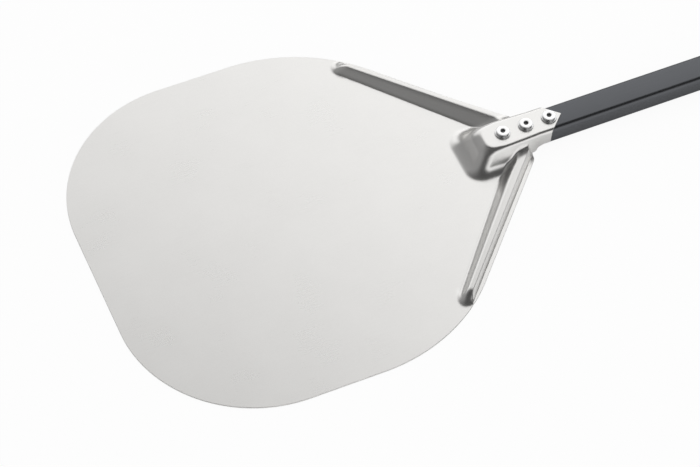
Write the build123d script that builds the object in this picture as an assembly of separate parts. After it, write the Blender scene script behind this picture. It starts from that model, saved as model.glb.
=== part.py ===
from build123d import *
from math import atan2, cos, radians, sin, tan
import os

# Pizza peel: a blade pressed from one aluminium sheet, riveted over the end of a flat tube.
# Millimetres. +X runs along the handle, away from the blade. +Z is up. The XZ plane is the
# plane of symmetry. The origin is the middle of the blade's flat underside.

# Blade outline
SHEET = 1.2
HEAD_WIDTH = 330.0
FRONT_X = -165.0
FRONT_CORNER_R = 113.5
REAR_CORNER_R = 146.0
SHOULDER_ANGLE = 47.5
SHOULDER_CORNER_X = FRONT_X + 239.3
NECK_CORNER_R = 2.0
NECK_SLANT = 1.5

# Handle tube, whose front end is held under the socket
TUBE_WIDTH = 25.0
TUBE_HEIGHT = 17.0
TUBE_WALL = 1.5
TUBE_CORNER_R = 4.0
TUBE_FRONT_X = FRONT_X + 337.0
HANDLE_REACH = 600.0

# Socket: the hump in the sheet that wraps the top and sides of the tube
SOCKET_FOOT_X = FRONT_X + 317.0
SOCKET_TOP_X = FRONT_X + 331.0
SOCKET_FOOT_HALF = 21.0
SOCKET_CORNER_R = 2.0
SOCKET_FRONT_EDGE_R = 3.0
SOCKET_TAPER_X = FRONT_X + 350.0
PLATE_END_X = FRONT_X + 371.0
SOCKET_TIGHT_X = FRONT_X + 378.0
WALL_LIFT_X = FRONT_X + 382.0
WALL_LIFT_Z = 4.5
SOCKET_HEEL_X = FRONT_X + 388.0
SOCKET_CORNER_X = FRONT_X + 389.5
SOCKET_APEX_X = FRONT_X + 403.5

# Stiffening ribs: long beads pressed up along both shoulders, measured inwards from the edge
RIB_HEIGHT_AT_NECK = 9.7
RIB_HEIGHT_AT_END = 5.9
RIB_EDGE_FOOT = 3.1
RIB_CREST_NEAR = 5.8
RIB_CREST_FAR = 10.0
RIB_FOOT_AT_NECK = 20.9
RIB_FOOT_AT_END = 13.9
RIB_NECK_Y = 16.0
RIB_NECK_X = PLATE_END_X - 1.8
RIB_NECK_LEAN = 15.0
RIB_END_Y = 130.5
RIB_TIP_RUN = 6.0
RIB_TIP_ROUND = 0.42
RIB_INSET = 0.9

# Blind rivets that hold the socket to the tube, each on its own washer
RIVET_FIRST_X = FRONT_X + 351.0
RIVET_PITCH = 20.7
RIVET_NAMES = ["front", "middle", "rear"]
RIVET_HOLE_R = 3.25
RIVET_SHANK_R = 3.2
RIVET_HEAD_R = 5.4
RIVET_HEAD_H = 1.8
RIVET_HEAD_CHAMFER = 0.35
RIVET_TAIL_R = 4.6
RIVET_TAIL_H = 4.5
WASHER_R = 6.5
WASHER_H = 1.2
MANDREL_R = 1.9
MANDREL_RECESS = 1.2
MANDREL_HEAD_R = 3.1
MANDREL_HEAD_H = 3.0
RUNNING_GAP = 0.03

# End cap: a plug in the tube and a hanging eye behind it
CAP_LENGTH = 30.0
EYE_HOLE_R = 5.5
EYE_CHAMFER = 1.0
PLUG_LENGTH = 28.0
PLUG_GAP = 0.1
PLUG_WALL = 2.6
CAP_RIVET_SETBACK = 14.0
CAP_RIVET_HOLE_R = 1.65
CAP_RIVET_SHANK_R = 1.6
CAP_RIVET_HEAD_R = 3.25
CAP_RIVET_HEAD_H = 1.0
CAP_RIVET_TAIL_R = 2.4
CAP_RIVET_TAIL_H = 2.4
CAP_MANDREL_R = 0.9
CAP_MANDREL_RECESS = 0.5
CAP_MANDREL_HEAD_R = 1.6
CAP_MANDREL_HEAD_H = 1.6

# Worked out from the above
HALF_HEAD = HEAD_WIDTH / 2
HALF_TUBE = TUBE_WIDTH / 2
HALF_SOCKET = HALF_TUBE + SHEET
SOCKET_TOP_Z = TUBE_HEIGHT + SHEET
END_X = SOCKET_APEX_X + HANDLE_REACH
TUBE_END_X = END_X - CAP_LENGTH
BORE_WIDTH = TUBE_WIDTH - 2 * TUBE_WALL
BORE_HEIGHT = TUBE_HEIGHT - 2 * TUBE_WALL
SHOULDER_RUN = 1 / tan(radians(SHOULDER_ANGLE))
SOCKET_SLOPE = atan2(SOCKET_TOP_Z, SOCKET_TOP_X - SOCKET_FOOT_X)
OVERRUN = 5.0
LONG = 400.0


def shoulder_x(y):
    """X of the shoulder edge at the distance y from the centreline."""
    return SHOULDER_CORNER_X + (HALF_HEAD - y) * SHOULDER_RUN


def both_sides(shape):
    """A shape and its mirror image in the plane of symmetry."""
    return shape + mirror(shape, about=Plane.XZ)


def plate():
    """The flat sheet inside the blade's outline, as far back as the neck."""
    neck_y = HALF_HEAD - (PLATE_END_X - NECK_SLANT - SHOULDER_CORNER_X) / SHOULDER_RUN
    half = [
        (FRONT_X, HALF_HEAD),
        (SHOULDER_CORNER_X, HALF_HEAD),
        (shoulder_x(neck_y), neck_y),
        (PLATE_END_X, HALF_SOCKET),
    ]
    corners = half + [(x, -y) for x, y in reversed(half)]
    outline = make_face(Polyline(*corners, close=True))
    for x, y, radius in (
        (FRONT_X, HALF_HEAD, FRONT_CORNER_R),
        (SHOULDER_CORNER_X, HALF_HEAD, REAR_CORNER_R),
        (shoulder_x(neck_y), neck_y, NECK_CORNER_R),
    ):
        for side in (y, -y):
            vertex = outline.vertices().sort_by_distance((x, side, 0))[0]
            outline = fillet(vertex, radius)
    return extrude(outline, SHEET)


def rib_ring(share, bottom_z, inset):
    """One closed ring round a rib, from its foot at share = 0 to its crest at share = 1."""
    angle = radians(SHOULDER_ANGLE)
    along = Vector(-cos(angle), sin(angle), 0)
    inward = Vector(-sin(angle), -cos(angle), 0)
    length = (RIB_END_Y - RIB_NECK_Y) / sin(angle)
    start = Vector(shoulder_x(RIB_NECK_Y), RIB_NECK_Y, bottom_z)
    rise_at_neck = Vector(0, 0, share * RIB_HEIGHT_AT_NECK)
    rise_at_end = Vector(0, 0, share * RIB_HEIGHT_AT_END)
    edge = RIB_EDGE_FOOT + share * (RIB_CREST_NEAR - RIB_EDGE_FOOT) + inset
    far_neck = RIB_FOOT_AT_NECK + share * (RIB_CREST_FAR - RIB_FOOT_AT_NECK) - inset
    far_end = RIB_FOOT_AT_END + share * (RIB_CREST_FAR - RIB_FOOT_AT_END) - inset
    tip = length - RIB_TIP_RUN * share - inset
    ring = [
        start + inward * edge + rise_at_neck,
        start + along * tip + inward * edge + rise_at_end,
        start + along * tip + inward * far_end + rise_at_end,
        start + inward * far_neck + rise_at_neck,
    ]
    face = make_face(Polyline(*ring, close=True))
    radius = RIB_TIP_ROUND * (far_end - edge)
    ends = face.vertices().sort_by(Axis.Y)[-2:]
    return fillet(ends, radius)


def rib(bottom_z, inset):
    """A bead that grows towards the neck and is closed there, pulled in by inset all round."""
    bead = loft([rib_ring(0, bottom_z, inset), rib_ring(1, bottom_z, inset)], ruled=True)
    lean = radians(RIB_NECK_LEAN)
    back = Plane(origin=(RIB_NECK_X - inset, 0, bottom_z), z_dir=(cos(lean), 0, sin(lean)))
    return bead - extrude(back * Rectangle(LONG, LONG), LONG / 4)


def socket_section(x, foot_half, skin):
    """The socket's cross-section at x: outside it at skin = SHEET, inside it at skin = 0."""
    top_z = TUBE_HEIGHT + skin
    top_half = HALF_TUBE + skin
    lean = atan2(foot_half - HALF_SOCKET, SOCKET_TOP_Z)
    foot = foot_half - (SHEET - skin) / cos(lean)
    points = [(-foot, 0), (foot, 0), (top_half, top_z), (-top_half, top_z)]
    face = make_face(Polyline(*points, close=True))
    top = face.vertices().sort_by(Axis.Y)[-2:]
    face = fillet(top, SOCKET_CORNER_R + skin)
    return Plane(origin=(x, 0, 0), x_dir=(0, 1, 0), z_dir=(1, 0, 0)) * face


def socket(skin):
    """The hump from its sloping front to behind the chevron, for one side of the sheet."""
    setback = (SHEET - skin) / sin(SOCKET_SLOPE)
    wide = socket_section(SOCKET_FOOT_X - OVERRUN, SOCKET_FOOT_HALF, skin)
    body = extrude(wide, SOCKET_TAPER_X - SOCKET_FOOT_X + OVERRUN, dir=(1, 0, 0))
    normal = Vector(-sin(SOCKET_SLOPE), 0, cos(SOCKET_SLOPE))
    front = Plane(origin=(SOCKET_FOOT_X + setback, 0, 0), x_dir=(0, 1, 0), z_dir=normal)
    body -= extrude(front * Rectangle(LONG, LONG), LONG / 4)
    slope_face = body.faces().sort_by(Axis.X)[0]
    rims = slope_face.edges().sort_by(Axis.Z)[1:]
    body = fillet(rims, SOCKET_FRONT_EDGE_R + skin)
    body += loft(
        [
            socket_section(SOCKET_TAPER_X, SOCKET_FOOT_HALF, skin),
            socket_section(SOCKET_TIGHT_X, HALF_SOCKET, skin),
        ],
        ruled=True,
    )
    back = socket_section(SOCKET_TIGHT_X, HALF_SOCKET, skin)
    return body + extrude(back, SOCKET_APEX_X - SOCKET_TIGHT_X + OVERRUN, dir=(1, 0, 0))


def chevron_waste():
    """What the two slanting end cuts take off behind the socket, on the +Y side."""
    apex = Vector(SOCKET_APEX_X, 0, SOCKET_TOP_Z)
    across = Vector(SOCKET_CORNER_X, HALF_SOCKET, SOCKET_TOP_Z) - apex
    down = Vector(SOCKET_HEEL_X - SOCKET_CORNER_X, 0, -SOCKET_TOP_Z)
    cut = Plane(origin=apex, x_dir=across, z_dir=down.cross(across))
    return extrude(cut * Rectangle(LONG / 4, LONG / 4), LONG / 4)


def wall_lift_waste():
    """What is trimmed off under the socket's walls behind the neck."""
    side = [
        (PLATE_END_X, -OVERRUN),
        (PLATE_END_X, 0),
        (WALL_LIFT_X, WALL_LIFT_Z),
        (SOCKET_APEX_X + OVERRUN, WALL_LIFT_Z),
        (SOCKET_APEX_X + OVERRUN, -OVERRUN),
    ]
    return extrude(make_face(Plane.XZ * Polyline(*side, close=True)), LONG / 4, both=True)


def rivet_positions():
    """X of each rivet along the socket."""
    return [RIVET_FIRST_X + i * RIVET_PITCH for i in range(len(RIVET_NAMES))]


def drilled(shape, x, radius):
    """A shape with a round hole of the given radius down through its top at x."""
    return shape - Pos(x, 0, SOCKET_TOP_Z) * Cylinder(radius, TUBE_HEIGHT)


def blade():
    """The whole sheet: flat plate, two ribs and the socket, with its rivet holes."""
    sheet = plate() + both_sides(rib(SHEET, 0)) + socket(SHEET)
    sheet -= both_sides(rib(0, RIB_INSET))
    sheet -= socket(0)
    sheet -= both_sides(chevron_waste()) + wall_lift_waste()
    for x in rivet_positions():
        sheet = drilled(sheet, x, RIVET_HOLE_R)
    return sheet


def handle_tube():
    """The flat tube, drilled through its top wall for the rivets."""
    outer = RectangleRounded(TUBE_WIDTH, TUBE_HEIGHT, TUBE_CORNER_R)
    inner = RectangleRounded(BORE_WIDTH, BORE_HEIGHT, TUBE_CORNER_R - TUBE_WALL)
    start = Plane(origin=(TUBE_FRONT_X, 0, TUBE_HEIGHT / 2), x_dir=(0, 1, 0), z_dir=(1, 0, 0))
    tube = extrude(start * (outer - inner), TUBE_END_X - TUBE_FRONT_X)
    for x in rivet_positions():
        tube = drilled(tube, x, RIVET_HOLE_R)
    return drilled(tube, TUBE_END_X - CAP_RIVET_SETBACK, CAP_RIVET_HOLE_R)


def turned(x, profile):
    """A solid turned about a vertical axis at x from (radius, z) points."""
    face = make_face(Plane.XZ * Polyline(*profile, close=True))
    return Pos(x, 0, 0) * revolve(face, Axis.Z)


def rivet_body(x):
    """A set rivet: wide flat head, hollow shank, and the bulb inside the tube."""
    seat = SOCKET_TOP_Z + WASHER_H
    top = seat + RIVET_HEAD_H
    grip = TUBE_HEIGHT - TUBE_WALL
    core = MANDREL_R + RUNNING_GAP
    profile = [
        (core, grip - RIVET_TAIL_H),
        (RIVET_TAIL_R * 0.8, grip - RIVET_TAIL_H),
        (RIVET_TAIL_R, grip - RIVET_TAIL_H * 0.6),
        (RIVET_TAIL_R, grip),
        (RIVET_SHANK_R, grip),
        (RIVET_SHANK_R, seat),
        (RIVET_HEAD_R, seat),
        (RIVET_HEAD_R, top - RIVET_HEAD_CHAMFER),
        (RIVET_HEAD_R - RIVET_HEAD_CHAMFER, top),
        (core, top),
    ]
    return turned(x, profile)


def rivet_mandrel(x):
    """The broken-off pin left in a rivet, with its head under the bulb."""
    foot = TUBE_HEIGHT - TUBE_WALL - RIVET_TAIL_H
    top = SOCKET_TOP_Z + WASHER_H + RIVET_HEAD_H - MANDREL_RECESS
    profile = [
        (0, foot - MANDREL_HEAD_H),
        (MANDREL_HEAD_R * 0.7, foot - MANDREL_HEAD_H),
        (MANDREL_HEAD_R, foot - MANDREL_HEAD_H * 0.6),
        (MANDREL_HEAD_R, foot),
        (MANDREL_R, foot),
        (MANDREL_R, top),
        (0, top),
    ]
    return turned(x, profile)


def washer(x):
    """The plain washer between a rivet's head and the socket."""
    profile = [
        (RIVET_HOLE_R, SOCKET_TOP_Z),
        (WASHER_R, SOCKET_TOP_Z),
        (WASHER_R, SOCKET_TOP_Z + WASHER_H),
        (RIVET_HOLE_R, SOCKET_TOP_Z + WASHER_H),
    ]
    return turned(x, profile)


def end_cap():
    """The moulded cap: a hollow plug in the tube and an eye with a hanging hole."""
    eye_x = END_X - HALF_TUBE
    arm = Pos((TUBE_END_X + eye_x) / 2, 0) * Rectangle(eye_x - TUBE_END_X, TUBE_WIDTH)
    body = extrude(arm + Pos(eye_x, 0) * Circle(HALF_TUBE), TUBE_HEIGHT)
    rims = body.edges().group_by(Axis.Z)[0] + body.edges().group_by(Axis.Z)[-1]
    body = fillet(rims.filter_by(Axis.Y, reverse=True), TUBE_CORNER_R)
    eye = Cylinder(EYE_HOLE_R, TUBE_HEIGHT * 2)
    mouth = Cone(EYE_HOLE_R, EYE_HOLE_R + EYE_CHAMFER, EYE_CHAMFER)
    body -= Pos(eye_x, 0, TUBE_HEIGHT / 2) * eye
    body -= Pos(eye_x, 0, TUBE_HEIGHT - EYE_CHAMFER / 2) * mouth
    body -= Pos(eye_x, 0, EYE_CHAMFER / 2) * Rot(180, 0, 0) * mouth
    start = Plane(origin=(TUBE_END_X, 0, TUBE_HEIGHT / 2), x_dir=(0, 1, 0), z_dir=(1, 0, 0))
    width, height = BORE_WIDTH - 2 * PLUG_GAP, BORE_HEIGHT - 2 * PLUG_GAP
    plug = start * RectangleRounded(width, height, TUBE_CORNER_R - TUBE_WALL)
    hollow = start * Rectangle(width - 2 * PLUG_WALL, height - 2 * PLUG_WALL)
    body += extrude(plug, -PLUG_LENGTH)
    body -= extrude(hollow, -PLUG_LENGTH)
    return drilled(body, TUBE_END_X - CAP_RIVET_SETBACK, CAP_RIVET_HOLE_R)


def cap_rivet_body():
    """The small blind rivet through the tube's top wall and the plug's top wall."""
    top = TUBE_HEIGHT + CAP_RIVET_HEAD_H
    grip = TUBE_HEIGHT - TUBE_WALL - PLUG_GAP - PLUG_WALL
    core = CAP_MANDREL_R + RUNNING_GAP
    profile = [
        (core, grip - CAP_RIVET_TAIL_H),
        (CAP_RIVET_TAIL_R, grip - CAP_RIVET_TAIL_H),
        (CAP_RIVET_TAIL_R, grip),
        (CAP_RIVET_SHANK_R, grip),
        (CAP_RIVET_SHANK_R, TUBE_HEIGHT),
        (CAP_RIVET_HEAD_R, TUBE_HEIGHT),
        (CAP_RIVET_HEAD_R * 0.75, top - CAP_RIVET_HEAD_H * 0.25),
        (CAP_RIVET_HEAD_R * 0.45, top),
        (core, top),
    ]
    return turned(TUBE_END_X - CAP_RIVET_SETBACK, profile)


def cap_rivet_mandrel():
    """The broken-off pin left in the small rivet."""
    foot = TUBE_HEIGHT - TUBE_WALL - PLUG_GAP - PLUG_WALL - CAP_RIVET_TAIL_H
    top = TUBE_HEIGHT + CAP_RIVET_HEAD_H - CAP_MANDREL_RECESS
    profile = [
        (0, foot - CAP_MANDREL_HEAD_H),
        (CAP_MANDREL_HEAD_R, foot - CAP_MANDREL_HEAD_H),
        (CAP_MANDREL_HEAD_R, foot),
        (CAP_MANDREL_R, foot),
        (CAP_MANDREL_R, top),
        (0, top),
    ]
    return turned(TUBE_END_X - CAP_RIVET_SETBACK, profile)


def pieces():
    """Every piece of the peel by its name."""
    made = {
        "blade": blade(),
        "handle_tube": handle_tube(),
        "end_cap": end_cap(),
        "cap_rivet_body": cap_rivet_body(),
        "cap_rivet_mandrel": cap_rivet_mandrel(),
    }
    for name, x in zip(RIVET_NAMES, rivet_positions()):
        made[f"{name}_rivet_body"] = rivet_body(x)
        made[f"{name}_rivet_mandrel"] = rivet_mandrel(x)
        made[f"{name}_rivet_washer"] = washer(x)
    return made


os.makedirs("parts", exist_ok=True)
for node, shape in pieces().items():
    export_step(shape, f"parts/{node}.step")
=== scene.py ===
"""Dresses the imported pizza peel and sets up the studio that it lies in.

The blade is rebuilt as one smooth pressed sheet, the tube and the rivets come from Geometry
Nodes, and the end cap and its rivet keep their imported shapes. Lengths inside the classes are
millimetres, and meshes are written in metres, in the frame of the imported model.
"""

import logging
import math
from collections.abc import Sequence
from dataclasses import dataclass, field
from enum import Enum

import bpy
import numpy as np
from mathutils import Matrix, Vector


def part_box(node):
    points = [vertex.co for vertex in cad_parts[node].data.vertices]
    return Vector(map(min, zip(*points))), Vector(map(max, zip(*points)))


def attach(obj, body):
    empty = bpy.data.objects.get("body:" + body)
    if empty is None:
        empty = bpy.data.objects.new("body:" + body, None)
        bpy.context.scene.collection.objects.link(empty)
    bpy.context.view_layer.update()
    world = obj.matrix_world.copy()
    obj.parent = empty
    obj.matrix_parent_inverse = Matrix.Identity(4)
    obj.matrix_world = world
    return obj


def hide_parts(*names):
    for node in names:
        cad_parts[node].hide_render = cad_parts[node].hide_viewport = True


MM = 0.001  # metres in a millimetre
TINY = 1e-6  # the least length that counts
CORNER_SHARE = 0.49  # how much of a run one rounded corner may take
LEAST_TURN = 1e-3  # the least turn that is rounded, in radians
CLOUD_DETAIL = 3.0  # how many finer layers the clouds in a finish have
GRAIN_DETAIL = 2.0  # the same for its grain and its drawn lines
SMOOTH_LIMIT = 35.0  # the sharpest edge that is still shaded smooth, in degrees
TURNED_LIMIT = 50.0  # the same on a turned piece
RIVETS = ("front", "middle", "rear")
log = logging.getLogger("peel")
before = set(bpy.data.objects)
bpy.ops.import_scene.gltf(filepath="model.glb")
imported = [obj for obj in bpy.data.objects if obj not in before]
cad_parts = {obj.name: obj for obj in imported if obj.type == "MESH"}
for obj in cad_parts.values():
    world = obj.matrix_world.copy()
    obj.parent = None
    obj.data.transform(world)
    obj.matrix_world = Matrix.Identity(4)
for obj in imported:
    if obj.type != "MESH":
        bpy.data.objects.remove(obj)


class Slot(Enum):
    """Names of the record's material slots, one for each rebuilt piece."""

    BLADE = "blade_aluminium"
    TUBE = "tube_anodised"
    RIVET = "rivet_aluminium"
    WASHER = "washer_steel"
    MANDREL = "mandrel_steel"


# -------- plane curves


def rounded_path(corners: list[tuple[float, float]], radii: Sequence[float], step: float) -> np.ndarray:
    """Runs a line through corners and rounds the inner ones.

    Args:
        corners: the line's corners, as (across, up) pairs.
        radii: one radius for each inner corner, made smaller where its runs are too short.
        step: the longest chord of an arc.

    Returns:
        The points of the line, one row each.
    """
    spots = [np.array(c, float) for c in corners]
    out = [spots[0]]
    for before, spot, after, radius in zip(spots, spots[1:], spots[2:], radii):
        back, ahead = before - spot, after - spot
        room = CORNER_SHARE * min(np.linalg.norm(back), np.linalg.norm(ahead))
        if room < TINY:
            out.append(spot)
            continue
        back, ahead = back / np.linalg.norm(back), ahead / np.linalg.norm(ahead)
        turn = math.pi - math.acos(max(-1.0, min(1.0, float(back @ ahead))))
        if turn < LEAST_TURN:
            out.append(spot)
            continue
        reach = min(radius * math.tan(turn / 2), room)
        actual = reach / math.tan(turn / 2)
        middle = (back + ahead) / np.linalg.norm(back + ahead)
        centre = spot + middle * actual / math.cos(turn / 2)
        arm = spot + back * reach - centre
        side = -1.0 if back[0] * ahead[1] - back[1] * ahead[0] > 0 else 1.0
        count = max(2, math.ceil(actual * turn / step))
        for angle in np.linspace(0, side * turn, count + 1):
            c, s = math.cos(angle), math.sin(angle)
            out.append(centre + np.array((arm[0] * c - arm[1] * s, arm[0] * s + arm[1] * c)))
    out.append(spots[-1])
    return np.array(out)


def run_length(path: np.ndarray) -> np.ndarray:
    """The distance run along a path at each of its points."""
    return np.concatenate([[0.0], np.cumsum(np.linalg.norm(np.diff(path, axis=0), axis=1))])


def filled_in(path: np.ndarray, step: float) -> np.ndarray:
    """A path with points added on its long runs, no further apart than step."""
    run = run_length(path)
    extra = np.arange(0.0, run[-1], step)
    stops = np.unique(np.concatenate([run, extra]))
    return np.column_stack([np.interp(stops, run, path[:, axis]) for axis in (0, 1)])


def eased(share: np.ndarray | float) -> np.ndarray | float:
    """A share from 0 to 1 that starts and ends gently."""
    held = np.clip(share, 0.0, 1.0)
    return held * held * (3 - 2 * held)


def soft_least(first: np.ndarray, second: np.ndarray, width: np.ndarray | float) -> np.ndarray:
    """The smaller of two values, eased where they differ by less than width.

    Args:
        first: one value at each place.
        second: the other value.
        width: the difference at which the easing starts.

    Returns:
        The smaller value, less up to a quarter of width where the two are alike.
    """
    share = np.clip(0.5 + 0.5 * (second - first) / width, 0.0, 1.0)
    return second + (first - second) * share - width * share * (1 - share)


def soft_most(first: np.ndarray, second: np.ndarray, width: np.ndarray | float) -> np.ndarray:
    """The larger of two values, eased in the same way."""
    return -soft_least(-first, -second, width)


# -------- node building


class Wire:
    """A socket in a shader tree, so that sums on sockets are written as sums."""

    def __init__(self, web: "Web", socket: bpy.types.NodeSocket) -> None:
        """Holds a socket of the tree that web draws."""
        self.web = web
        self.socket = socket

    def _sum(self, operation: str, first: object, second: object) -> "Wire":
        """One Math node on two values."""
        node = self.web.node("ShaderNodeMath", {"operation": operation}, {0: first, 1: second})
        return Wire(self.web, node.outputs[0])

    def __add__(self, other: object) -> "Wire":
        """self + other."""
        return self._sum("ADD", self, other)

    __radd__ = __add__

    def __sub__(self, other: object) -> "Wire":
        """self - other."""
        return self._sum("SUBTRACT", self, other)

    def __rsub__(self, other: object) -> "Wire":
        """other - self."""
        return self._sum("SUBTRACT", other, self)

    def __mul__(self, other: object) -> "Wire":
        """self * other."""
        return self._sum("MULTIPLY", self, other)

    __rmul__ = __mul__

    def top(self, other: object) -> "Wire":
        """The larger of two values."""
        return self._sum("MAXIMUM", self, other)

    def between(self, low: float, high: float) -> "Wire":
        """0 below low, 1 above high, and a gentle rise between them."""
        settings = {"interpolation_type": "SMOOTHSTEP"}
        node = self.web.node("ShaderNodeMapRange", settings, {0: self, 1: low, 2: high})
        return Wire(self.web, node.outputs[0])


class Web:
    """A node tree that is drawn node by node."""

    def __init__(self, tree: bpy.types.NodeTree) -> None:
        """Starts from an empty tree."""
        self.tree = tree
        tree.nodes.clear()

    def node(
        self,
        kind: str,
        settings: dict[str, object] | None = None,
        inputs: dict[str | int, object] | None = None,
    ) -> bpy.types.Node:
        """Adds one node.

        Args:
            kind: the node's type.
            settings: its own properties, which are set before its sockets.
            inputs: a value or a wire for each named or numbered socket.

        Returns:
            The new node.
        """
        node = self.tree.nodes.new(kind)
        for name, value in (settings or {}).items():
            setattr(node, name, value)
        for name, value in (inputs or {}).items():
            self.plug(node.inputs[name], value)
        return node

    def wire(self, node: bpy.types.Node, output: str | int = 0) -> Wire:
        """The wire that leaves a node."""
        return Wire(self, node.outputs[output])

    def plug(self, socket: bpy.types.NodeSocket, value: object) -> None:
        """Gives a socket a value, or links a wire or another socket to it."""
        if isinstance(value, Wire):
            value = value.socket
        if isinstance(value, bpy.types.NodeSocket):
            self.tree.links.new(value, socket)
        else:
            socket.default_value = value

    def noise(self, scale: tuple[float, float, float], detail: float, rough: float = 0.5) -> Wire:
        """Cloudy values from 0 to 1, with the given number of features per metre."""
        here = self.wire(self.node("ShaderNodeTexCoord"), "Object")
        spot = self.wire(self.node("ShaderNodeMapping", {}, {"Vector": here, "Scale": scale}))
        inputs = {"Vector": spot, "Scale": 1.0, "Detail": detail, "Roughness": rough}
        return self.wire(self.node("ShaderNodeTexNoise", {}, inputs))

    def blend(self, share: Wire, low: tuple[float, ...], high: tuple[float, ...]) -> Wire:
        """A colour between low and high."""
        node = self.node("ShaderNodeMix", {"data_type": "RGBA"}, {0: share, 6: low, 7: high})
        return self.wire(node, 2)

    def surface(self, inputs: dict[str | int, object]) -> None:
        """Ends a material in one Principled shader."""
        shader = self.node("ShaderNodeBsdfPrincipled", {}, inputs)
        self.node("ShaderNodeOutputMaterial", {}, {"Surface": shader.outputs[0]})


def new_material(name: str) -> tuple[bpy.types.Material, Web]:
    """Makes a material, and the empty web that its nodes are drawn in."""
    material = bpy.data.materials.new(name)
    material.use_nodes = True
    return material, Web(material.node_tree)


def shade(value: float, warmth: float = 0.0) -> tuple[float, float, float, float]:
    """A grey with an alpha of 1, pulled towards yellow by warmth or towards blue below 0."""
    return (value * (1 + warmth / 2), value, value * (1 - warmth), 1.0)


# -------- finishes


@dataclass(frozen=True)
class SatinMetal:
    """A metal surface with a fine grain, drawn lines and soft clouding.

    Clouds, grain and lines are counted in features per metre, depth is in metres, and lines is
    the share of drawn lines in all that is fine.
    """

    name: str
    grey: float
    warmth: float = 0.0
    spread: float = 0.03
    contrast: tuple[float, float] = (0.3, 0.7)
    rough: float = 0.3
    rough_spread: float = 0.04
    cloud_pitch: float = 18.0
    cloud_share: float = 0.5
    grain: float = 1400.0
    line_pitch: float = 2600.0
    line_length: float = 25.0
    line_rough: float = 0.6
    lines: float = 0.5
    bump: float = 0.35
    depth: float = 0.000006

    def build(self) -> bpy.types.Material:
        """Makes the material."""
        material, web = new_material(self.name)
        clouds = web.noise((self.cloud_pitch,) * 3, CLOUD_DETAIL)
        grain = web.noise((self.grain,) * 3, GRAIN_DETAIL)
        lengths = (self.line_length, self.line_pitch, self.line_pitch)
        drawn = web.noise(lengths, GRAIN_DETAIL, self.line_rough)
        fine = 1 - self.cloud_share
        lines = self.lines * fine
        share = clouds * self.cloud_share + drawn * lines + grain * (fine - lines)
        share = share.between(*self.contrast)
        low, high = self.grey * (1 - self.spread), self.grey * (1 + self.spread)
        colour = web.blend(share, shade(low, self.warmth), shade(min(high, 1.0), self.warmth))
        rough = clouds * self.rough_spread + drawn * (self.rough_spread * self.lines)
        rough = rough + (self.rough - self.rough_spread * (1 + self.lines) / 2)
        height = grain * (1 - self.lines) + drawn * self.lines
        relief = {"Strength": self.bump, "Distance": self.depth, "Height": height}
        normal = web.wire(web.node("ShaderNodeBump", {}, relief))
        web.surface({"Base Color": colour, "Metallic": 1.0, "Roughness": rough, "Normal": normal})
        return material


@dataclass(frozen=True)
class MouldedPolymer:
    """A hard moulded plastic with a fine spark-eroded grain, measured as SatinMetal is."""

    name: str
    grey: float
    warmth: float = -0.05
    spread: tuple[float, float] = (0.9, 1.15)
    rough: float = 0.5
    rough_spread: float = 0.12
    cloud_pitch: float = 40.0
    grain: float = 1800.0
    bump: float = 0.5
    depth: float = 0.00004

    def build(self) -> bpy.types.Material:
        """Makes the material."""
        material, web = new_material(self.name)
        clouds = web.noise((self.cloud_pitch,) * 3, CLOUD_DETAIL)
        grain = web.noise((self.grain,) * 3, GRAIN_DETAIL)
        low, high = (shade(self.grey * share, self.warmth) for share in self.spread)
        colour = web.blend(clouds, low, high)
        relief = {"Strength": self.bump, "Distance": self.depth, "Height": grain}
        normal = web.wire(web.node("ShaderNodeBump", {}, relief))
        rough = clouds * self.rough_spread + (self.rough - self.rough_spread / 2)
        web.surface({"Base Color": colour, "Roughness": rough, "Normal": normal})
        return material


Finish = SatinMetal | MouldedPolymer


BLADE_FINISH = SatinMetal("blade_satin", 0.86, warmth=0.02, rough=0.28, lines=0.35)
TUBE_FINISH = SatinMetal("tube_anodised_satin", 0.135, warmth=-0.07, spread=0.05, rough=0.34, lines=0.8)
RIVET_FINISH = SatinMetal("rivet_bright", 0.88, rough=0.12, spread=0.02, lines=0.0)
WASHER_FINISH = SatinMetal("washer_bright", 0.78, rough=0.18, spread=0.02, lines=0.0)
MANDREL_FINISH = SatinMetal("mandrel_dull", 0.16, rough=0.5, spread=0.1, lines=0.0)
CAP_FINISH = MouldedPolymer("cap_moulded", 0.03)


# -------- pieces


def new_object(name: str, data: bpy.types.ID) -> bpy.types.Object:
    """Puts a mesh, a camera or a lamp into the scene as an object at the origin."""
    made = bpy.data.objects.new(name, data)
    bpy.context.scene.collection.objects.link(made)
    return made


def new_mesh(name: str, points: np.ndarray, faces: list[Sequence[int]]) -> bpy.types.Mesh:
    """Makes a mesh, in metres, from points in millimetres."""
    mesh = bpy.data.meshes.new(name)
    mesh.from_pydata((points * MM).tolist(), [], faces)
    return mesh


def settle(piece: bpy.types.Object) -> None:
    """Turns a piece's modifiers into plain mesh."""
    graph = bpy.context.evaluated_depsgraph_get()
    mesh = bpy.data.meshes.new_from_object(piece.evaluated_get(graph), depsgraph=graph)
    mesh.name = piece.name
    piece.modifiers.clear()
    piece.data = mesh


def hand_over(piece: bpy.types.Object, slot: Slot, *nodes: str) -> None:
    """Rides a finished piece on the peel and hides the imported nodes that it stands for."""
    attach(piece, "root")
    if nodes:
        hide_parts(*nodes)
    log.info("%s: %d faces", piece.name, len(piece.data.polygons))


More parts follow.
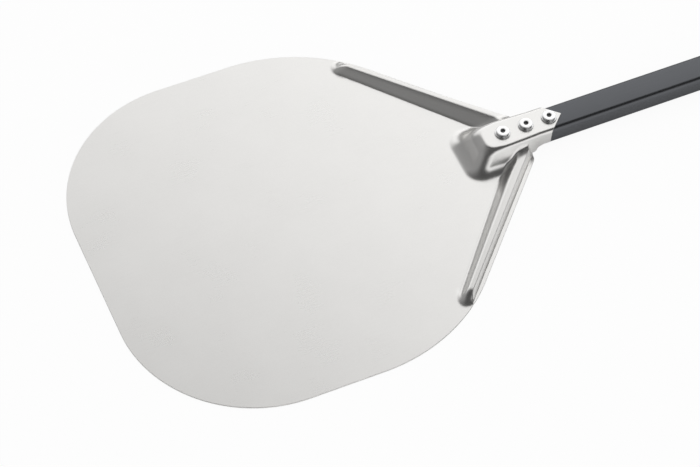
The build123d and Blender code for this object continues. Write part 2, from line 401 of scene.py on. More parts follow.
@dataclass
class PressedBlade:
    """The sheet: a flat blade, a bead along each shoulder, and the socket over the tube.

    Distances along x are measured from the blade's front edge. Pairs of bead sizes are at the
    neck and at the tip.
    """

    front_x: float
    half_width: float
    crown_z: float
    apex_x: float
    # the sheet and its outline
    sheet: float = 1.2
    front_corner_r: float = 113.5
    rear_corner_r: float = 146.0
    shoulder_angle: float = math.radians(47.5)
    shoulder_corner_x: float = 239.3
    plate_end_x: float = 371.0
    notch_run: float = 1.5
    edge_r: float = 0.2
    # the socket over the tube
    crown_half: float = 13.7
    crown_edge_r: float = 3.2
    nose_edge: tuple[float, float] = (4.5, 1.66)
    nose_edge_x: tuple[float, float] = (331.0, 347.0)
    nose_corner: float = 8.5
    nose_foot: float = 5.5
    foot_half: float = 23.0
    foot_x: float = 317.0
    ramp_top_x: float = 329.5
    foot_r: float = 8.0
    foot_fade: float = 3.0
    taper_x: float = 350.0
    tight_x: float = 378.0
    tight_lean: float = 0.1
    lift: tuple[float, float] = (373.0, 382.0)
    lift_z: float = 4.3
    heel_x: float = 388.0
    corner_x: float = 389.5
    hole_r: float = 3.25
    holes: list[float] = field(default_factory=list)
    # the beads
    bead_height: tuple[float, float] = (9.4, 5.0)
    bead_foot: float = 3.1
    bead_margin: float = 0.6
    bead_outer: tuple[float, float] = (5.1, 6.1)
    bead_inner: tuple[float, float] = (12.6, 9.8)
    bead_reach: tuple[float, float] = (21.5, 14.3)
    bead_inner_r: tuple[float, float] = (7.5, 4.5)
    bead_outer_r: float = 1.2
    bead_foot_r: tuple[float, float] = (0.3, 4.5)
    bead_span: tuple[float, float] = (16.0, 137.5)
    bead_back_x: float = 370.0
    bead_back_run: float = 3.6
    bead_tip_slope: float = 0.6
    bead_tip_r: float = 5.0
    bead_tip_run: float = 12.0
    bead_tip_soft: float = 2.4
    merge: float = 4.5
    merge_rate: float = 2.0
    root_reach: float = 7.0
    root_rise: float = 0.25
    # the mesh
    grid_x: float = 238.0
    warp_x: float = 383.0
    columns: int = 90
    stations: tuple[tuple[float, float], ...] = ((310.0, 0.9), (364.0, 0.9), (374.0, 0.45), (403.5, 0.9))
    fine: float = 0.4
    nose_step: float = 0.15
    plain_step: float = 0.25
    arc_step: float = 0.2
    least_plate: float = 0.05
    bend_weight: float = 22.0
    calm_reach: int = 4
    nose_rounds: int = 60
    nose_start: float = 1.0
    rear_arc_points: int = 20
    front_arc_points: int = 61

    @property
    def rear_corner_start(self) -> float:
        """Where the blade's straight sides end and its rear corners start."""
        return self.shoulder_corner_x - self.rear_corner_r * math.tan(self.shoulder_angle / 2)

    def foot_at(self, x: float) -> float:
        """Half the socket's width at the bottom of its walls."""
        narrow = np.clip((x - self.taper_x) / (self.tight_x - self.taper_x), 0.0, 1.0)
        return float(self.foot_half + (self.crown_half + self.tight_lean - self.foot_half) * narrow)

    def edge_at(self, x: float) -> float:
        """Half the sheet's width at x, which is where its outline runs."""
        front, rear = self.front_corner_r, self.rear_corner_r
        if x < front:
            return self.half_width - front + math.sqrt(max(front**2 - (front - x) ** 2, 0.0))
        start = self.rear_corner_start
        if x < start:
            return self.half_width
        if x < start + rear * math.sin(self.shoulder_angle):
            return self.half_width - rear + math.sqrt(rear**2 - (x - start) ** 2)
        line = self.half_width - (x - self.shoulder_corner_x) * math.tan(self.shoulder_angle)
        foot = self.foot_at(x)
        notch = eased((x - self.plate_end_x + self.notch_run) / self.notch_run)
        return line + (foot - line) * notch if x < self.plate_end_x else foot

    def bead_at(self, x: float, y: np.ndarray) -> np.ndarray:
        """How far the bead stands above the plate at a place.

        Args:
            x: the distance behind the front edge.
            y: distances from the centreline.

        Returns:
            The bead's height at each place.
        """
        c, s = math.cos(self.shoulder_angle), math.sin(self.shoulder_angle)
        right, up = x - self.shoulder_corner_x, y - self.half_width
        inward = -right * s - up * c
        along = -right * c + up * s
        tip = (self.bead_span[1] - self.half_width) / s
        root = (self.bead_span[0] - self.half_width) / s

        def between(ends: tuple[float, float]) -> np.ndarray:
            """A size part of the way from the neck to the tip."""
            return np.interp(along, [root, tip], ends)

        pairs = (self.bead_height, self.bead_outer, self.bead_inner, self.bead_reach)
        high, outer, inner, reach = (between(ends) for ends in pairs)
        centre = (self.bead_foot + reach) / 2
        ramp = (tip - along - (inward - centre) ** 2 / (2 * self.bead_tip_r)) * self.bead_tip_slope
        top = soft_least(high, ramp, self.bead_tip_soft)
        slope_in, slope_out = high / (reach - inner), high / (outer - self.bead_foot)
        far = self.flank(reach - inward, slope_in, top, between(self.bead_inner_r), self.bead_foot_r[1])
        margin = np.minimum(inward - self.bead_foot, (self.edge_at(x) - y) * c - self.bead_margin)
        foot_r = np.interp(along, [tip - self.bead_tip_run, tip], self.bead_foot_r)
        near = self.flank(margin, slope_out, top, self.bead_outer_r, foot_r)
        return np.minimum(far, near) * eased((self.bead_back_x - x) / self.bead_back_run)

    @staticmethod
    def flank(
        run: np.ndarray,
        slope: np.ndarray,
        high: np.ndarray,
        crest_r: np.ndarray | float,
        foot_r: np.ndarray | float,
    ) -> np.ndarray:
        """The height of one side of a bead.

        Args:
            run: distances in from the side's foot.
            slope: how steeply the side rises.
            high: the bead's height.
            crest_r: the radius that eases the side into the crest.
            foot_r: the radius that eases the plate into the side.

        Returns:
            The height at each place.
        """
        angle = np.arctan(slope)
        ease = slope * np.tan(angle / 2) * (1 + np.cos(angle)) / 2
        side = soft_least(run * slope, high, ease * crest_r)
        return soft_most(side, np.zeros_like(run), ease * foot_r)

    def nose_gap(self, x: float, y: np.ndarray, z: np.ndarray) -> np.ndarray:
        """How far a place is above the plate and the front of the socket, with soft corners."""
        slope = math.atan2(self.crown_z, self.ramp_top_x - self.foot_x)
        lean = math.atan2(self.crown_z, self.foot_half - self.crown_half)
        front = (self.foot_x - x) * math.sin(slope) + z * math.cos(slope)
        side = (y - self.foot_half) * math.sin(lean) + z * math.cos(lean)
        edge = float(np.interp(x, self.nose_edge_x, self.nose_edge))
        hump = self.hump_of(self.hump_of(front, side, self.nose_corner), z - self.crown_z, edge)
        plate = z - self.sheet
        near, over = np.maximum(self.nose_foot - hump, 0.0), np.maximum(self.nose_foot - plate, 0.0)
        return np.maximum(self.nose_foot, np.minimum(hump, plate)) - np.hypot(near, over)

    @staticmethod
    def hump_of(first: np.ndarray, second: np.ndarray, soft: float) -> np.ndarray:
        """Two gaps joined along an outer corner that starts to round soft away from it."""
        larger = np.maximum(first, second)
        outer = np.hypot(np.maximum(first + soft, 0.0), np.maximum(second + soft, 0.0)) - soft
        return np.where(larger < -soft, larger, outer)

    def nose_section(self, x: float) -> np.ndarray:
        """The upper line of the sheet across the blade at x, where the socket's front rises."""
        edge = self.edge_at(x)
        reach = self.foot_half + 2 * self.foot_r
        near, flat = np.arange(0.0, reach, self.nose_step), np.arange(reach, edge, self.plain_step)
        y = np.concatenate([near, flat, [edge]])
        z = np.full(len(y), self.crown_z + self.nose_start)
        for _ in range(self.nose_rounds):
            z -= self.nose_gap(x, y, z)
        return np.column_stack([y, z])

    def section(self, x: float) -> np.ndarray:
        """The upper line of the sheet across the blade at x, from the centreline out."""
        line = self.nose_section(x) if x < self.taper_x else self.plain_section(x)
        level = line[-1, 1]
        rise = np.maximum(line[:, 1] - level, 0.0)
        bead = self.bead_at(x, line[:, 0])
        wall = float(np.interp(-self.bead_height[0], -rise, line[:, 0]))
        gap = np.clip(1.0 - (line[:, 0] - wall) / self.root_reach, 0.0, 1.0)
        bead *= 1.0 + self.root_rise * gap * gap
        soft = np.minimum(self.merge, self.merge_rate * np.sqrt(rise * bead)) + TINY
        line[:, 1] = level + soft_most(rise, bead, soft)
        return line

    def plain_section(self, x: float) -> np.ndarray:
        """The upper line of the sheet across the blade at x, behind the socket's front."""
        crown = self.crown_z
        edge = self.edge_at(x)
        fade = eased((x - self.plate_end_x) / self.foot_fade)
        level = float(np.interp(x, self.lift, (self.sheet, self.lift_z)))
        foot = self.foot_at(x)
        lean = (self.crown_half - foot) / self.crown_z
        corner = (foot + lean * crown, crown)
        bottom = (foot + lean * level, level)
        corners = [(0.0, crown), corner, bottom]
        radii = [self.crown_edge_r]
        if edge - bottom[0] > self.least_plate:
            corners.append((edge, level))
            radii.append(self.foot_r * (1 - fade))
        return filled_in(rounded_path(corners, radii, self.arc_step), self.plain_step)

    def spread_columns(self, lines: list[np.ndarray]) -> np.ndarray:
        """Places the same number of points along each section, closer where it bends.

        Args:
            lines: the sections, front to back.

        Returns:
            An array of sections by columns by (y, z).
        """
        shares = []
        for line in lines:
            run = run_length(line)
            heading = np.unwrap(np.arctan2(np.diff(line[:, 1]), np.diff(line[:, 0])))
            bend = np.concatenate([[0.0], np.abs(np.diff(heading)), [0.0]])
            weight = run + self.bend_weight * np.cumsum(bend)
            even = np.linspace(0.0, weight[-1], self.columns + 1)
            shares.append(np.interp(even, weight, run) / run[-1])
        calm = np.array(shares)
        padded = np.pad(calm, ((self.calm_reach, self.calm_reach), (0, 0)), mode="edge")
        window = 2 * self.calm_reach + 1
        calm = sum(padded[k : k + len(calm)] for k in range(window)) / window
        rows = []
        for line, share in zip(lines, calm):
            run = run_length(line)
            stops = share * run[-1]
            rows.append(np.column_stack([np.interp(stops, run, line[:, a]) for a in (0, 1)]))
        return np.array(rows)

    def chevron_at(self, y: np.ndarray, z: np.ndarray) -> np.ndarray:
        """Where the sheet ends behind the socket, at a place on its section."""
        across = (self.apex_x - self.corner_x) / self.crown_half
        down = (self.corner_x - self.heel_x) / self.crown_z
        return self.apex_x - across * y - down * (self.crown_z - z)

    def grid(self) -> np.ndarray:
        """The upper face behind grid_x, as rows of points from one edge to the other."""
        fine = np.arange(self.grid_x, self.apex_x + 2 * self.fine, self.fine)
        half = self.spread_columns([self.section(float(x)) for x in fine])
        nominal = np.array([self.grid_x])
        for end, pitch in self.stations:
            count = math.ceil((end - nominal[-1]) / pitch)
            nominal = np.concatenate([nominal, np.linspace(nominal[-1], end, count + 1)[1:]])
        nominal[-1] = self.apex_x
        last = int(np.searchsorted(fine, self.corner_x))
        ends = self.chevron_at(half[last, :, 0], half[last, :, 1])
        behind = (nominal[:, None] - self.warp_x) / (self.apex_x - self.warp_x)
        warped = self.warp_x + behind * (ends[None, :] - self.warp_x)
        x = np.where(behind > 0, warped, nominal[:, None])
        y, z = np.empty_like(x), np.empty_like(x)
        for column in range(self.columns + 1):
            y[:, column] = np.interp(x[:, column], fine, half[:, column, 0])
            z[:, column] = np.interp(x[:, column], fine, half[:, column, 1])
        right = np.stack([x, y, z], axis=2)
        left = right[:, :0:-1] * np.array((1.0, -1.0, 1.0))
        return np.concatenate([left, right], axis=1)

    def front_outline(self) -> np.ndarray:
        """The blade's edge in front of grid_x, from the -Y side round to the +Y side."""
        rear, start = self.rear_corner_r, self.rear_corner_start
        turn = np.linspace(math.asin((self.grid_x - start) / rear), 0.0, self.rear_arc_points)
        behind = start + rear * np.sin(turn[1:])
        ahead = self.front_corner_r * (1 - np.sin(np.linspace(0.0, math.pi / 2, self.front_arc_points)))
        half = np.array([(x, self.edge_at(x)) for x in (*behind, *ahead)] + [(0.0, 0.0)])
        outline = np.concatenate([half * (1.0, -1.0), half[-2::-1]])
        return np.column_stack([outline, np.full(len(outline), self.sheet)])

    def normals(self, grid: np.ndarray) -> np.ndarray:
        """The upward normal at each point of a grid."""
        back = np.gradient(grid, axis=0)
        across = np.gradient(grid, axis=1)
        normal = np.cross(back, across)
        return normal / np.linalg.norm(normal, axis=2, keepdims=True)

    def mesh(self) -> bpy.types.Object:
        """Builds the whole sheet with its thickness, its rounded rim and its rivet holes."""
        grid = self.grid()
        rows, across = grid.shape[:2]
        front = self.front_outline()
        top = np.concatenate([grid.reshape(-1, 3), front])
        level = np.tile((0.0, 0.0, 1.0), (len(front), 1))
        normal = np.concatenate([self.normals(grid).reshape(-1, 3), level])
        spot = np.arange(rows * across).reshape(rows, across)
        around = rows * across + np.arange(len(front))
        holed, kept = self.drill(top, spot)
        loop = np.concatenate([around, spot[:, -1], spot[-1, -2::-1], spot[-2::-1, 0]])
        rim = top[loop]
        tangent = np.roll(rim, -1, axis=0) - np.roll(rim, 1, axis=0)
        outward = np.cross(normal[loop], tangent)
        outward /= np.linalg.norm(outward, axis=1, keepdims=True)
        top[loop] -= outward * self.edge_r
        bottom = top - normal * self.sheet
        rings = []
        for angle, low in ((45.0, False), (90.0, False), (90.0, True), (45.0, True)):
            out = self.edge_r * math.sin(math.radians(angle))
            sink = self.edge_r * (1 - math.cos(math.radians(angle)))
            sink = self.sheet - sink if low else sink
            rings.append(top[loop] + outward * out - normal[loop] * sink)
        points = np.concatenate([top, bottom] + rings)
        under = len(top)
        faces = [[int(i) for i in face] for face in kept]
        faces.append([int(i) for i in np.concatenate([around, spot[0, ::-1]])][::-1])
        faces += [[i + under for i in face[::-1]] for face in faces]
        faces += [(a, b, b + under, a + under) for a, b in holed]
        count = len(loop)
        around_rim = [2 * under + k * count + np.arange(count) for k in range(len(rings))]
        levels = [loop] + around_rim + [loop + under]
        for upper, lower in zip(levels, levels[1:]):
            for k in range(count):
                n = (k + 1) % count
                faces.append((int(upper[k]), int(upper[n]), int(lower[n]), int(lower[k])))
        return self.finish(points, faces, {int(i) for i in loop} | {int(i) + under for i in loop})

    def drill(self, top: np.ndarray, spot: np.ndarray) -> tuple[list[tuple[int, int]], list[list[int]]]:
        """Opens the rivet holes in the grid's faces.

        Args:
            top: the upper face's points, whose places beside a hole are moved onto its circle.
            spot: the number of each grid point.

        Returns:
            The edges round the holes, and the faces that are left.
        """
        corners = [spot[:-1, :-1], spot[1:, :-1], spot[1:, 1:], spot[:-1, 1:]]
        quads = np.stack(corners, axis=2).reshape(-1, 4)
        open_quads = np.zeros(len(quads), bool)
        for x in self.holes:
            away = np.hypot(top[:, 0] - x, top[:, 1])
            centre = away[quads].mean(axis=1)
            gone = (centre < self.hole_r) & (top[quads, 2].min(axis=1) > self.crown_z / 2)
            open_quads |= gone
            ring = np.intersect1d(quads[gone].ravel(), quads[~gone].ravel())
            scale = (self.hole_r / away[ring])[:, None]
            top[ring, :2] = (top[ring, :2] - (x, 0.0)) * scale + (x, 0.0)
        kept = [list(quad) for quad in quads[~open_quads]]
        used = {(a, b) for quad in kept for a, b in zip(quad, quad[1:] + quad[:1])}
        gone_edges = {(int(a), int(b)) for q in quads[open_quads] for a, b in zip(q, np.roll(q, -1))}
        return [(b, a) for a, b in gone_edges if (b, a) in used], kept

    def finish(self, points: np.ndarray, faces: list[Sequence[int]], rim: set[int]) -> bpy.types.Object:
        """Makes the sheet, smooth but for the lines round its rim.

        Args:
            points: the sheet's points, in millimetres from its front edge.
            faces: the numbers of each face's points.
            rim: the points of the two lines round the rim, whose edges stay sharp.

        Returns:
            The finished sheet.
        """
        mesh = new_mesh("blade_sheet", points + (self.front_x, 0.0, 0.0), faces)
        mesh.shade_smooth()
        for edge in mesh.edges:
            a, b = edge.vertices
            edge.use_edge_sharp = a in rim and b in rim
        return new_object("blade_sheet", mesh)

    def dress(self) -> None:
        """Builds the sheet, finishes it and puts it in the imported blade's place."""
        piece = self.mesh()
        piece.data.materials.append(BLADE_FINISH.build())
        hand_over(piece, Slot.BLADE, "blade")


class NodeTree:
    """A Geometry Nodes tree with named inputs, for a modifier on one piece."""

    def __init__(self, name: str) -> None:
        """Starts a tree with only its output."""
        self.tree = bpy.data.node_groups.new(name, "GeometryNodeTree")
        self.web = Web(self.tree)
        self.tree.interface.new_socket("Geometry", in_out="OUTPUT", socket_type="NodeSocketGeometry")
        self.values: dict[str, object] = {}
        self.entry = self.web.node("NodeGroupInput")

    def value(self, name: str, kind: str, value: object) -> bpy.types.NodeSocket:
        """Adds a named input and gives it a value."""
        self.tree.interface.new_socket(name, in_out="INPUT", socket_type=kind)
        self.values[name] = value
        return self.entry.outputs[name]

    def size(self, name: str, value: float) -> bpy.types.NodeSocket:
        """Adds a named length, given in millimetres."""
        return self.value(name, "NodeSocketFloat", value * MM)

    def join(self, *shapes: bpy.types.NodeSocket) -> bpy.types.NodeSocket:
        """Joins several geometries into one."""
        node = self.web.node("GeometryNodeJoinGeometry")
        for shape in shapes:
            self.web.plug(node.inputs[0], shape)
        return node.outputs[0]

    def apply(
        self,
        piece: bpy.types.Object,
        shape: bpy.types.NodeSocket,
        finish: bpy.types.Material,
    ) -> None:
        """Ends the tree in a realised, painted mesh and turns the piece into it."""
        real = self.web.node("GeometryNodeRealizeInstances", {}, {0: shape})
        paint = self.value("Finish", "NodeSocketMaterial", finish)
        inputs = {"Geometry": real.outputs[0], "Material": paint}
        painted = self.web.node("GeometryNodeSetMaterial", {}, inputs)
        self.web.node("NodeGroupOutput", {}, {0: painted.outputs[0]})
        modifier = piece.modifiers.new(self.tree.name, "NODES")
        modifier.node_group = self.tree
        for item in self.tree.interface.items_tree:
            if item.in_out == "INPUT":
                modifier[item.identifier] = self.values[item.name]
        settle(piece)


@dataclass
class HandleTube:
    """The flat tube, drawn as a ring between two rounded oblongs and pushed out along X."""

    front_x: float
    rear_x: float
    width: float
    height: float
    wall: float = 1.5
    corner_r: float = 4.0
    corner_steps: int = 12
    weld: float = 0.01

    def ring(self, tree: NodeTree, name: str, inset: float) -> bpy.types.NodeSocket:
        """One rounded oblong, lying flat about the origin, at inset inside the tube's surface."""
        web = tree.web
        height = tree.size(f"{name} height", self.height - 2 * inset)
        width = tree.size(f"{name} width", self.width - 2 * inset)
        oblong = web.node("GeometryNodeCurvePrimitiveQuadrilateral", {}, {0: height, 1: width})
        inputs = {
            "Curve": oblong.outputs[0],
            "Radius": tree.size(f"{name} corner radius", self.corner_r - inset),
            "Count": tree.value(f"{name} corner steps", "NodeSocketInt", self.corner_steps),
        }
        settings = {"mode": "POLY"}
        return web.node("GeometryNodeFilletCurve", settings, inputs).outputs[0]

    def mesh(self) -> bpy.types.Object:
        """Builds the tube with both of its open ends."""
        piece = new_object("handle_flat_tube", bpy.data.meshes.new("handle_flat_tube"))
        tree = NodeTree("flat_tube")
        web = tree.web
        outer = self.ring(tree, "Outer", 0.0)
        inner = self.ring(tree, "Inner", self.wall)
        face = web.node("GeometryNodeFillCurve", {}, {0: tree.join(outer, inner)})
        length = tree.size("Length", self.rear_x - self.front_x)
        pushed = {"Mesh": face.outputs[0], "Offset Scale": length, "Individual": False}
        body = web.node("GeometryNodeExtrudeMesh", {}, pushed)
        start = web.node("GeometryNodeFlipFaces", {}, {0: face.outputs[0]})
        whole = tree.join(body.outputs[0], start.outputs[0])
        seams = {"Geometry": whole, "Distance": self.weld * MM}
        closed = web.node("GeometryNodeMergeByDistance", {}, seams)
        place = tree.value("Front", "NodeSocketVector", (self.front_x * MM, 0.0, self.height / 2 * MM))
        lying = (0.0, math.pi / 2, 0.0)
        inputs = {"Geometry": closed.outputs[0], "Translation": place, "Rotation": lying}
        laid = web.node("GeometryNodeTransform", {}, inputs)
        tree.apply(piece, laid.outputs[0], TUBE_FINISH.build())
        return piece

    def dress(self) -> None:
        """Builds the tube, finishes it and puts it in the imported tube's place."""
        piece = self.mesh()
        soften(piece)
        hand_over(piece, Slot.TUBE, "handle_tube")


def soften(piece: bpy.types.Object, limit: float = SMOOTH_LIMIT) -> None:
    """Smooths a piece's faces, but for edges that turn by more than limit degrees."""
    piece.data.shade_smooth()
    piece.data.set_sharp_from_angle(angle=math.radians(limit))


def turned(name: str, profile: np.ndarray, steps: int = 64) -> bpy.types.Object:
    """Turns a closed solid about the Z axis.

    Args:
        name: the piece's name.
        profile: (radius, z) points in millimetres; where it is open, its ends are on the axis.
        steps: how many faces go round it.

    Returns:
        The piece, with its axis at the origin.
    """
    rings = len(profile)
    angles = np.linspace(0, 2 * math.pi, steps, endpoint=False)
    hollow = profile[0][0] > TINY
    points = [(r * math.cos(a), r * math.sin(a), z) for r, z in profile for a in angles]
    faces = []
    last = rings if hollow else rings - 1
    for ring in range(last):
        for step in range(steps):
            after = (step + 1) % steps
            here, above = ring * steps, (ring + 1) % rings * steps
            faces.append((here + step, here + after, above + after, above + step))
    mesh = new_mesh(name, np.array(points), faces)
    mesh.validate()
    piece = new_object(name, mesh)
    joined = piece.modifiers.new("join", "WELD")
    joined.merge_threshold = TINY
    settle(piece)
    soften(piece, TURNED_LIMIT)
    return piece


@dataclass
class RivetRow:
    """The blind rivets along the socket, each with its washer and its snapped mandrel."""

    first_x: float
    pitch: float
    seat_z: float
    grip_z: float
    names: tuple[str, ...] = RIVETS
    washer_h: float = 1.2
    washer_r: float = 6.5
    washer_rounds: tuple[float, ...] = (0.1, 0.15, 0.3, 0.1)
    washer_step: float = 0.08
    hole_r: float = 3.25
    head_h: float = 1.8
    head_r: float = 5.4
    head_edge_r: float = 0.3
    head_foot_r: float = 0.6
    shank_r: float = 3.2
    core_r: float = 1.93
    tail_r: float = 4.6
    tail_h: float = 4.5
    tail_rounds: tuple[float, ...] = (0.1, 1.6, 0.5, 0.1, 0.05)
    mouth_r: float = 0.25
    mandrel_r: float = 1.9
    recess: float = 1.2
    mandrel_head_r: float = 3.1
    mandrel_head_h: float = 3.0
    mandrel_rounds: tuple[float, ...] = (1.4, 0.3, 0.05, 0.15, 0.3)
    snap_share: float = 0.45
    snap_low: float = 0.15
    snap_high: float = 0.1
    step: float = 0.12
    seam: float = 0.01
    seed: int = 7

    def body_profile(self) -> np.ndarray:
        """Half the section of a set rivet."""
        seat = self.seat_z + self.washer_h
        top, low = seat + self.head_h, self.grip_z - self.tail_h
        corners = [
            (self.core_r, (low + top) / 2),
            (self.core_r, low),
            (self.tail_r, low),
            (self.tail_r, self.grip_z),
            (self.shank_r, self.grip_z),
            (self.shank_r, seat),
            (self.head_r, seat),
            (self.head_r, top),
            (self.core_r, top),
            (self.core_r, (low + top) / 2 + self.seam),
        ]
        radii = (*self.tail_rounds, self.head_foot_r, self.head_edge_r, self.mouth_r)
        return rounded_path(corners, radii, self.step)

    def washer_profile(self) -> np.ndarray:
        """Half the section of a washer."""
        low, high = self.seat_z, self.seat_z + self.washer_h
        middle = (low + high) / 2
        corners = [
            (self.hole_r, middle),
            (self.hole_r, low),
            (self.washer_r, low),
            (self.washer_r, high),
            (self.hole_r, high),
            (self.hole_r, middle + self.seam),
        ]
        return rounded_path(corners, self.washer_rounds, self.washer_step)

    def mandrel_profile(self) -> np.ndarray:
        """Half the section of a mandrel, with the ragged dimple where it snapped."""
        low = self.grip_z - self.tail_h
        top = self.seat_z + self.washer_h + self.head_h - self.recess
        corners = [
            (0.0, low - self.mandrel_head_h),
            (self.mandrel_head_r, low - self.mandrel_head_h),
            (self.mandrel_head_r, low),
            (self.mandrel_r, low),
            (self.mandrel_r, top),
            (self.mandrel_r * self.snap_share, top - self.snap_low),
            (0.0, top + self.snap_high),
        ]
        return rounded_path(corners, self.mandrel_rounds, self.step)

    def row(self, name: str, profile: np.ndarray, finish: SatinMetal) -> bpy.types.Object:
        """Repeats one turned form along the socket, each copy turned to another angle.

        Args:
            name: the name of the piece that holds all the copies.
            profile: half the section of one copy.
            finish: the copies' finish.

        Returns:
            The finished piece.
        """
        form = turned(f"{name}_form", profile)
        piece = new_object(name, bpy.data.meshes.new(name))
        tree = NodeTree(name)
        web = tree.web
        line = {
            "Count": tree.value("Count", "NodeSocketInt", len(self.names)),
            "Start Location": tree.value("First", "NodeSocketVector", (self.first_x * MM, 0.0, 0.0)),
            "Offset": tree.value("Pitch", "NodeSocketVector", (self.pitch * MM, 0.0, 0.0)),
        }
        points = web.node("GeometryNodeMeshLine", {}, line)
        seed = tree.value("Seed", "NodeSocketInt", self.seed)
        angles = {0: (0, 0, 0), 1: (0, 0, math.tau), "Seed": seed}
        turn = web.node("FunctionNodeRandomValue", {"data_type": "FLOAT_VECTOR"}, angles)
        copied = tree.value("Form", "NodeSocketObject", form)
        source = web.node("GeometryNodeObjectInfo", {}, {"Object": copied})
        inputs = {
            "Points": points.outputs[0],
            "Instance": source.outputs["Geometry"],
            "Rotation": turn.outputs[0],
        }
        placed = web.node("GeometryNodeInstanceOnPoints", {}, inputs)
        tree.apply(piece, placed.outputs[0], finish.build())
        bpy.data.objects.remove(form)
        return piece

    def dress(self) -> None:
        """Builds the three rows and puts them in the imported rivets' places."""
        rows = (
            ("rivet_bodies", "rivet_body", self.body_profile(), RIVET_FINISH, Slot.RIVET),
            ("rivet_washers", "rivet_washer", self.washer_profile(), WASHER_FINISH, Slot.WASHER),
            ("rivet_mandrels", "rivet_mandrel", self.mandrel_profile(), MANDREL_FINISH, Slot.MANDREL),
        )
        for name, node, profile, finish, slot in rows:
            piece = self.row(name, profile, finish)
            hand_over(piece, slot, *(f"{which}_{node}" for which in self.names))


@dataclass
class HandleEnd:
    """The moulded cap and its small rivet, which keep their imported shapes."""

    finishes: tuple[tuple[str, Finish], ...] = (
        ("end_cap", CAP_FINISH),
        ("cap_rivet_body", RIVET_FINISH),
        ("cap_rivet_mandrel", MANDREL_FINISH),
    )

    def dress(self) -> None:
        """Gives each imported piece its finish."""
        for node, finish in self.finishes:
            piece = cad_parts[node]
            piece.data.materials.clear()
            piece.data.materials.append(finish.build())
            log.info("%s: %d faces, packed", node, len(piece.data.polygons))


# -------- studio


@dataclass(frozen=True)
class Lean:
    """A light that rises from low to high as a direction leans towards a side of the room."""

    side: tuple[float, float, float]
    low: float
    high: float


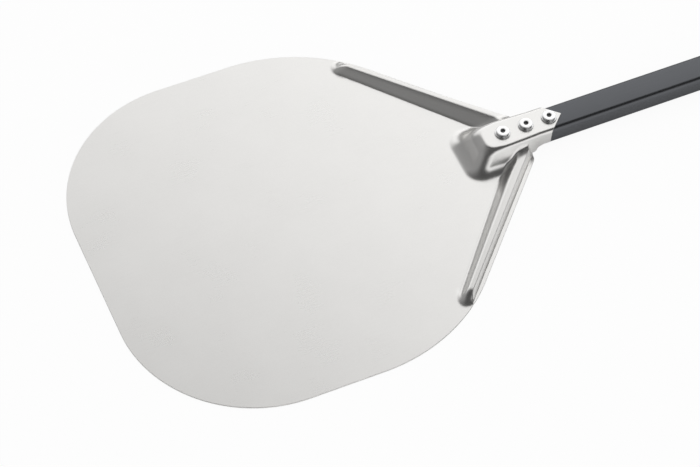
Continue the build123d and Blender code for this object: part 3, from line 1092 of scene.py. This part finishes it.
@dataclass
class Studio:
    """A white floor, a room for the metal to mirror, a soft lamp and the camera.

    The room's bright wall is behind the blade on the right. It fades towards the handle, the
    front and the floor, and a dimmer wall, a window and a glow at the handle's end add to it.
    """

    aim: tuple[float, float, float] = (37.5, -32.5, 0.6)
    distance: float = 2374.1
    elevation: float = 53.55
    heading: float = 23.16
    lens: float = 153.05
    sensor: float = 36.0
    sight: float = 100000.0
    floor_size: float = 12000.0
    floor_drop: float = 0.3
    floor_white: float = 0.93
    floor_glow: float = 0.93
    wall: Lean = Lean((0.8, 1.0, -0.2), 0.24, 0.64)
    wall_light: float = 1.2
    wall_end: Lean = Lean((1.0, -0.6, 0.0), 0.5, 1.0)
    wall_front: Lean = Lean((1.0, 0.0, 0.0), 0.1, 0.3)
    front_fade: float = 0.27
    wall_foot: Lean = Lean((0.0, 0.0, 1.0), 0.15, 0.42)
    dim_wall: Lean = Lean((-0.7, 0.5, 0.0), 0.1, 0.55)
    dim_light: float = 0.22
    window: Lean = Lean((0.25, -0.95, 0.17), 0.75, 0.94)
    window_light: float = 0.9
    handle_glow: Lean = Lean((0.86, 0.1, 0.5), 0.8, 0.98)
    glow_light: float = 0.2
    rest_light: float = 0.05
    soft_light: float = 0.75
    box_way: tuple[float, float, float] = (0.36, 0.6, 0.72)
    box_distance: float = 1300.0
    box_size: float = 1400.0
    box_power: float = 2.2

    def camera(self) -> None:
        """Sets the camera, which looks down at the blade from its near side."""
        up, turn = math.radians(self.elevation), math.radians(self.heading)
        flat = math.cos(up)
        ahead = Vector((math.sin(turn) * flat, math.cos(turn) * flat, -math.sin(up)))
        data = bpy.data.cameras.new("camera")
        data.lens = self.lens
        data.sensor_width = self.sensor
        data.clip_end = self.sight * MM
        made = new_object("camera", data)
        made.location = (Vector(self.aim) - ahead * self.distance) * MM
        made.rotation_euler = ahead.to_track_quat("-Z", "Y").to_euler()
        bpy.context.scene.camera = made

    def floor(self) -> None:
        """Lays the floor, which is white to the camera and keeps a soft shadow."""
        corners = np.array([(-1.0, -1.0, 0.0), (1.0, -1.0, 0.0), (1.0, 1.0, 0.0), (-1.0, 1.0, 0.0)])
        mesh = new_mesh("floor", corners * (self.floor_size / 2), [(0, 1, 2, 3)])
        floor = new_object("floor", mesh)
        floor.location.z = -self.floor_drop * MM
        material, web = new_material("floor_white")
        matt = web.node("ShaderNodeBsdfDiffuse", {}, {"Color": shade(self.floor_white)})
        glow = web.node("ShaderNodeEmission", {}, {"Color": shade(1.0), "Strength": 1.0})
        ray = web.node("ShaderNodeLightPath")
        share = web.wire(ray, "Is Camera Ray") * self.floor_glow
        mixed = web.node("ShaderNodeMixShader", {}, {0: share, 1: matt.outputs[0], 2: glow.outputs[0]})
        web.node("ShaderNodeOutputMaterial", {}, {"Surface": mixed.outputs[0]})
        mesh.materials.append(material)

    def world(self) -> None:
        """Lights the room: white to the camera, even to matt surfaces, walled to mirrors."""
        world = bpy.data.worlds.new("studio")
        bpy.context.scene.world = world
        world.use_nodes = True
        web = Web(world.node_tree)
        way = web.wire(web.node("ShaderNodeTexCoord"), "Generated")

        def rise(lean: Lean) -> Wire:
            """How much of a light there is in each direction, from 0 to 1."""
            dot = web.node("ShaderNodeVectorMath", {"operation": "DOT_PRODUCT"}, {0: way, 1: lean.side})
            return web.wire(dot, "Value").between(lean.low, lean.high)

        wall = rise(self.wall) * (1 - rise(self.wall_end))
        wall = wall * (rise(self.wall_front) * self.front_fade + (1 - self.front_fade))
        wall = wall * rise(self.wall_foot)
        room = wall * self.wall_light + rise(self.dim_wall) * self.dim_light + self.rest_light
        room = room + rise(self.window) * self.window_light
        room = room + rise(self.handle_glow) * self.glow_light
        ray = web.node("ShaderNodeLightPath")
        seen = web.wire(ray, "Is Camera Ray")
        mirrored = web.wire(ray, "Is Glossy Ray").top(web.wire(ray, "Is Transmission Ray"))
        soft = 1 - seen.top(mirrored)
        strength = seen + mirrored * room + soft * self.soft_light
        back = web.node("ShaderNodeBackground", {}, {"Color": shade(1.0), "Strength": strength})
        web.node("ShaderNodeOutputWorld", {}, {"Surface": back.outputs[0]})

    def lamp(self, name: str, place: Vector, size: float, power: float) -> None:
        """Hangs one square soft lamp, which faces the blade."""
        data = bpy.data.lights.new(name, "AREA")
        data.size = size * MM
        data.energy = power
        made = new_object(name, data)
        made.location = place * MM
        made.rotation_euler = (Vector(self.aim) - place).to_track_quat("-Z", "Y").to_euler()
        made.visible_glossy = False

    def build(self) -> None:
        """Sets up the whole studio."""
        self.camera()
        self.floor()
        self.world()
        place = Vector(self.aim) + Vector(self.box_way).normalized() * self.box_distance
        self.lamp("soft_box", place, self.box_size, self.box_power)
        bpy.context.scene.view_settings.view_transform = "Standard"


def in_mm(node: str) -> tuple[Vector, Vector]:
    """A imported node's lowest and highest corners, in millimetres."""
    low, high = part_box(node)
    return low / MM, high / MM


def middle_x(node: str) -> float:
    """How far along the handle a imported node's middle is, in millimetres."""
    low, high = in_mm(node)
    return (low.x + high.x) / 2


def main() -> None:
    """Builds the peel and its studio, piece by piece."""
    logging.basicConfig(level=logging.INFO, format="%(message)s")
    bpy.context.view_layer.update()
    sheet_low, sheet_high = in_mm("blade")
    tube_low, tube_high = in_mm("handle_tube")
    first_x, last_x = (middle_x(f"{name}_rivet_body") for name in (RIVETS[0], RIVETS[-1]))
    pitch = (last_x - first_x) / (len(RIVETS) - 1)
    holes = [first_x + pitch * k - sheet_low.x for k in range(len(RIVETS))]
    Studio().build()
    PressedBlade(
        front_x=sheet_low.x,
        half_width=sheet_high.y,
        crown_z=sheet_high.z,
        apex_x=sheet_high.x - sheet_low.x,
        holes=holes,
    ).dress()
    tube = HandleTube(tube_low.x, tube_high.x, tube_high.y - tube_low.y, tube_high.z - tube_low.z)
    tube.dress()
    RivetRow(first_x, pitch, sheet_high.z, tube_high.z - tube.wall).dress()
    HandleEnd().dress()


if __name__ == "__main__":
    main()
